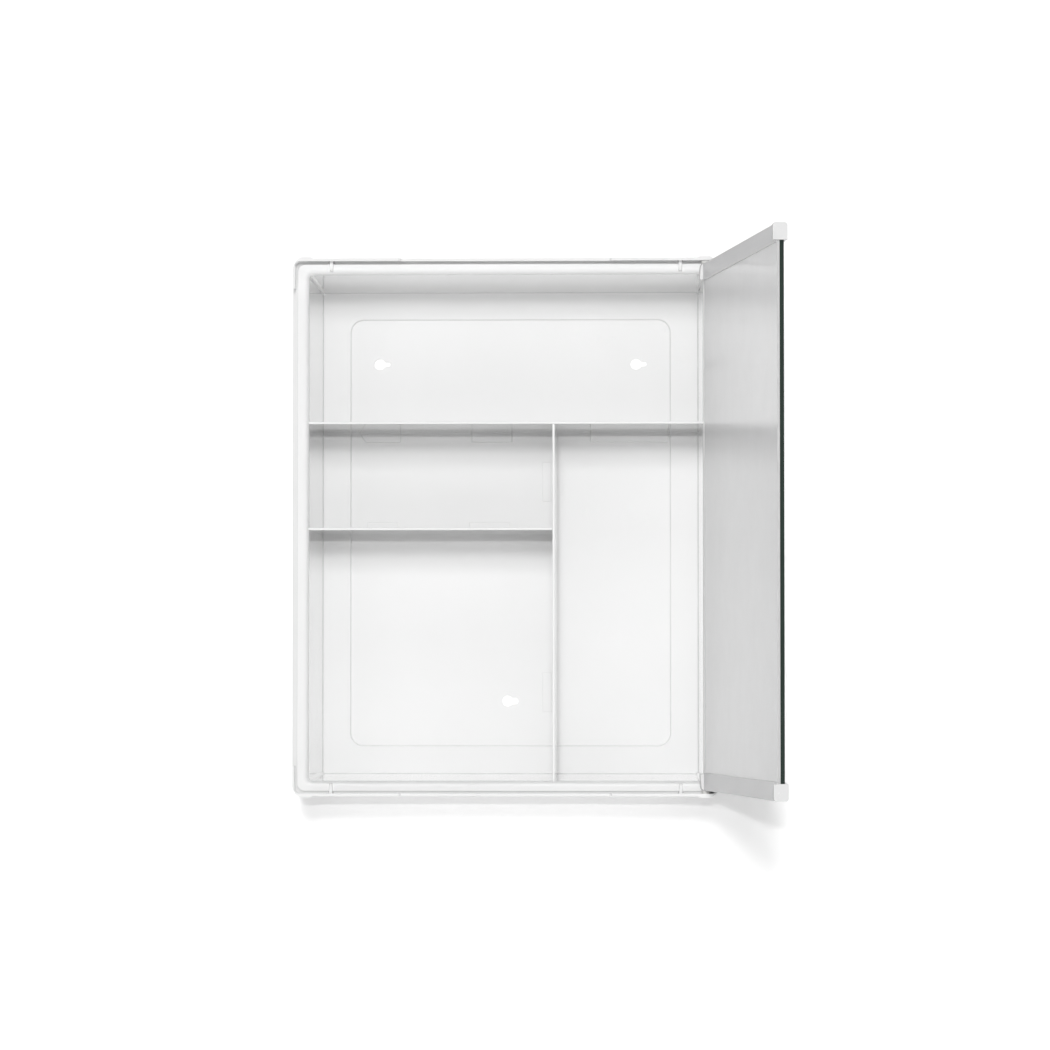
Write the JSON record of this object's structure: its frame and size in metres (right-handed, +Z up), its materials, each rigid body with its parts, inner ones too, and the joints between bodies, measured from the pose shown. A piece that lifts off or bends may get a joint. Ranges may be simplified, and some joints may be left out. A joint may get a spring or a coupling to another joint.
{
  "type": "mirrored medicine cabinet",
  "caption": "Wall-hung mirrored bathroom cabinet: shallow moulded body with fixed shelves and an upright divider, closed by a side-hinged mirror door.",
  "frame": {"origin": "centre of the cabinet on the wall plane, which is the rear face of the back wall's raised central pad", "axes": "+Z up, +Y into the wall, +X to the viewer's right (the hinge side); the cabinet opens towards -Y"},
  "size_m": [0.4167, 0.5015, 0.4664],
  "materials": {
    "body_plastic": "smooth moulded white, glossy",
    "shelf_plastic": "smooth white sheet, glossy",
    "mirror": "silvered float glass with ground dark green edge",
    "door_board": "smooth white sheet, glossy",
    "rail_plastic": "white extruded section, satin gloss",
    "cap_plastic": "white moulded, glossy",
    "pin_steel": "plain drawn pin",
    "washer_plastic": "natural white, matt",
    "strip_rubber": "soft grey packing"
  },
  "bodies": {
    "cabinet": {"cabinet_body": "body_plastic", "upper_shelf": "shelf_plastic", "middle_shelf": "shelf_plastic", "divider": "shelf_plastic", "hinge_pin_top": "pin_steel", "hinge_pin_bottom": "pin_steel", "hinge_washer_top": "washer_plastic", "hinge_washer_bottom": "washer_plastic"},
    "door": {"mirror_glass": "mirror", "door_back_board": "door_board", "top_rail": "rail_plastic", "bottom_rail": "rail_plastic", "top_hinge_cap": "cap_plastic", "bottom_hinge_cap": "cap_plastic", "top_free_cap": "cap_plastic", "bottom_free_cap": "cap_plastic", "top_glazing_strip": "strip_rubber", "bottom_glazing_strip": "strip_rubber"}
  },
  "joints": [
    {"name": "door_hinge", "type": "hinge", "parent": "cabinet", "child": "door", "pos_m": [0.17275, -0.1517, 0], "axis": [0, 0, 1], "range_deg": [-98.67, 9]}
  ]
}
